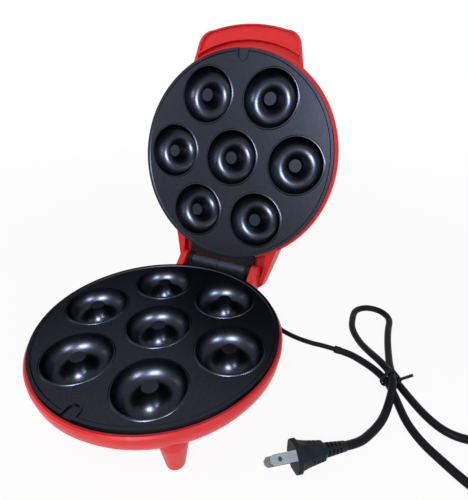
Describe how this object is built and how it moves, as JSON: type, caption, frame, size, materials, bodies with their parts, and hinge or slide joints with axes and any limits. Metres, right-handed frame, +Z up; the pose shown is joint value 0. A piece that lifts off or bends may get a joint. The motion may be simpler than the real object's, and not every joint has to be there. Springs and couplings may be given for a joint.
{
  "type": "donut maker",
  "caption": "Round tabletop donut maker with hinged non-stick plates of ring wells in moulded shells, front lift handle, short legs and a tied mains cord.",
  "frame": {"origin": "centre of the bounding box on the table plane, lid open, cord and plug left out", "axes": "+Z up, -Y to the front where the handle closes, +X to the right seen from the front"},
  "size_m": [0.3622, 0.2752, 0.2604],
  "materials": {
    "red_plastic": "gloss",
    "plate_coating": "satin",
    "black_steel": "satin",
    "barrel_steel": "gloss",
    "steel": "satin",
    "heater_steel": "matte",
    "sheet_aluminium": "satin",
    "rubber": "matte",
    "cord_rubber": "satin",
    "plug_plastic": "satin",
    "blade_metal": "gloss",
    "inner_plastic": "matte",
    "wire_sleeve": "matte",
    "red_lens": "gloss",
    "green_lens": "gloss",
    "lamp_glass": "gloss"
  },
  "bodies": {
    "base": {"base_shell": "red_plastic", "foot_pads": "rubber", "base_plate": "plate_coating", "base_heater": "heater_steel", "base_heat_shield": "sheet_aluminium", "base_plate_screws": "steel", "thermostat": "inner_plastic", "terminal_block": "inner_plastic", "base_wires": "wire_sleeve", "inner_lead": "cord_rubber", "base_hinge_bracket": "black_steel", "base_bracket_screws": "steel", "hinge_pin": "steel", "hinge_sleeve_right": "barrel_steel", "hinge_sleeve_left": "barrel_steel", "cord_gland": "cord_rubber", "supply_lead": "cord_rubber", "power_cord": "cord_rubber", "twist_tie": "plug_plastic", "plug_body": "plug_plastic", "plug_blades": "blade_metal"},
    "lid": {"lid_shell": "red_plastic", "lid_plate": "plate_coating", "lid_heater": "heater_steel", "lid_heat_shield": "sheet_aluminium", "lid_shield_screws": "steel", "thermal_fuse": "inner_plastic", "lid_hinge_bracket": "black_steel", "lid_bracket_screws": "steel", "lid_shell_screws": "black_steel", "power_lens": "red_lens", "ready_lens": "green_lens", "lamp_holder": "inner_plastic", "lamps": "lamp_glass", "lid_wires": "wire_sleeve"}
  },
  "joints": [
    {"name": "lid_hinge", "type": "hinge", "parent": "base", "child": "lid", "pos_m": [0, 0.065, 0.049], "axis": [1, 0, 0], "range_deg": [0, 104.7]}
  ]
}
